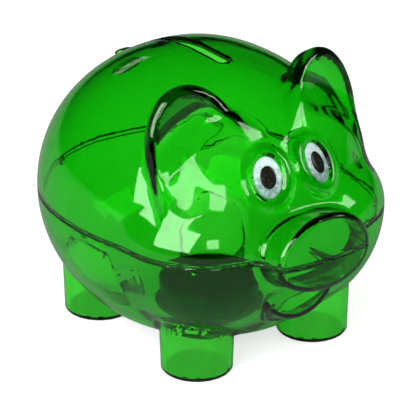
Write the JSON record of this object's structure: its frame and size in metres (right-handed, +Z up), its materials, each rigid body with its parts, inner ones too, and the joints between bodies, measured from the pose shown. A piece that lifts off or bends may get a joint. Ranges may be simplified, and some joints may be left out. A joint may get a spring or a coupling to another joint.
{
  "type": "piggy bank",
  "caption": "Clear green moulded piggy bank: a shell in halves glued at a level seam, with a coin slot in its back, hollow legs and a pull-out belly plug.",
  "frame": {"origin": "on the ground, under the middle of the bank", "axes": "+Z up, -Y towards the snout, +X towards the bank's own left"},
  "size_m": [0.1, 0.1208, 0.0962],
  "materials": {
    "green_shell": "polished, clear green",
    "glue": "hardened bead",
    "plug_rubber": "moulded, satin",
    "eye_white": "pearly",
    "pupil_black": "glossy"
  },
  "bodies": {
    "bank": {"upper_shell": "green_shell", "lower_shell": "green_shell", "seam_glue": "glue", "right_eye_disc": "eye_white", "left_eye_disc": "eye_white", "right_pupil": "pupil_black", "left_pupil": "pupil_black"},
    "plug": {"belly_plug": "plug_rubber"}
  },
  "joints": [
    {"name": "plug_pull", "type": "slide", "parent": "bank", "child": "plug", "axis": [0, 0, -1], "range_m": [0, 0.03]}
  ]
}
